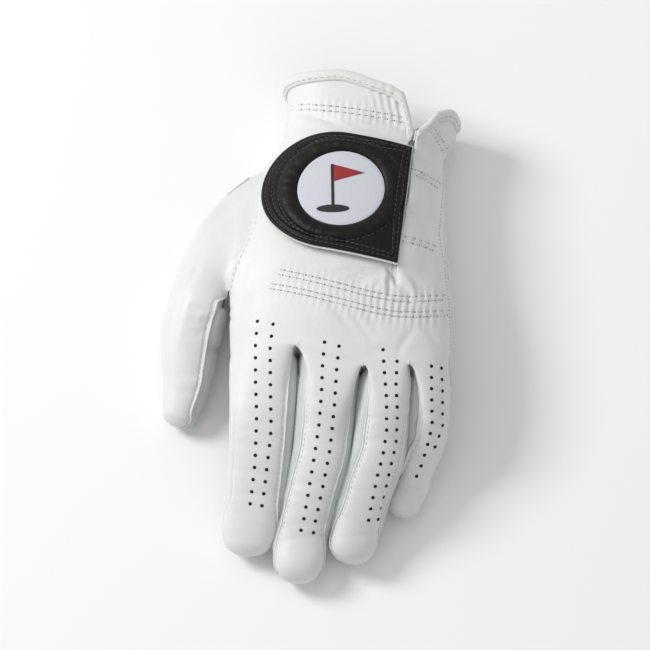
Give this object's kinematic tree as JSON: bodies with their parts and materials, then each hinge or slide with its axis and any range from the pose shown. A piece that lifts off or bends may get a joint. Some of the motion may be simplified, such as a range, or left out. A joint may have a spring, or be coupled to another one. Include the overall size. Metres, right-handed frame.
{
  "type": "golf glove",
  "caption": "Leather golf glove for the left hand with perforated fingers, a set-in thumb and a rounded black closure tab that peels open at the back of the wrist.",
  "frame": {"origin": "centre of the bounding box's underside, on the surface that the glove lies on", "axes": "+Z out of the back of the hand, -Y towards the fingertips, -X towards the thumb"},
  "size_m": [0.1354, 0.235, 0.0568],
  "materials": {
    "white_leather": "soft satin leather",
    "side_leather": "soft satin leather",
    "cuff_tape": "smooth folded tape",
    "white_elastic": "woven elastic",
    "hook_and_loop": "matte hook and loop tape",
    "tab_lining": "matte lining",
    "black_leather": "grained satin leather",
    "badge_twill": "twill"
  },
  "bodies": {
    "glove": {"trank": "white_leather", "fourchette_index_middle": "side_leather", "fourchette_middle_ring": "side_leather", "fourchette_ring_little": "side_leather", "thumb": "white_leather", "thumb_inner": "side_leather", "cuff_binding": "cuff_tape", "wrist_elastic": "white_elastic", "knuckle_elastic": "white_elastic", "flap_elastic": "white_elastic", "loop_pad": "hook_and_loop"},
    "tab": {"hook_pad": "hook_and_loop", "tab_lining": "tab_lining", "closure_tab": "black_leather", "tab_badge": "badge_twill"}
  },
  "joints": [
    {"name": "tab_peel", "type": "hinge", "parent": "glove", "child": "tab", "pos_m": [0.0422, 0.04889, 0.05015], "axis": [0.1126, 0.9827, -0.1469], "range_deg": [0, 150]}
  ]
}
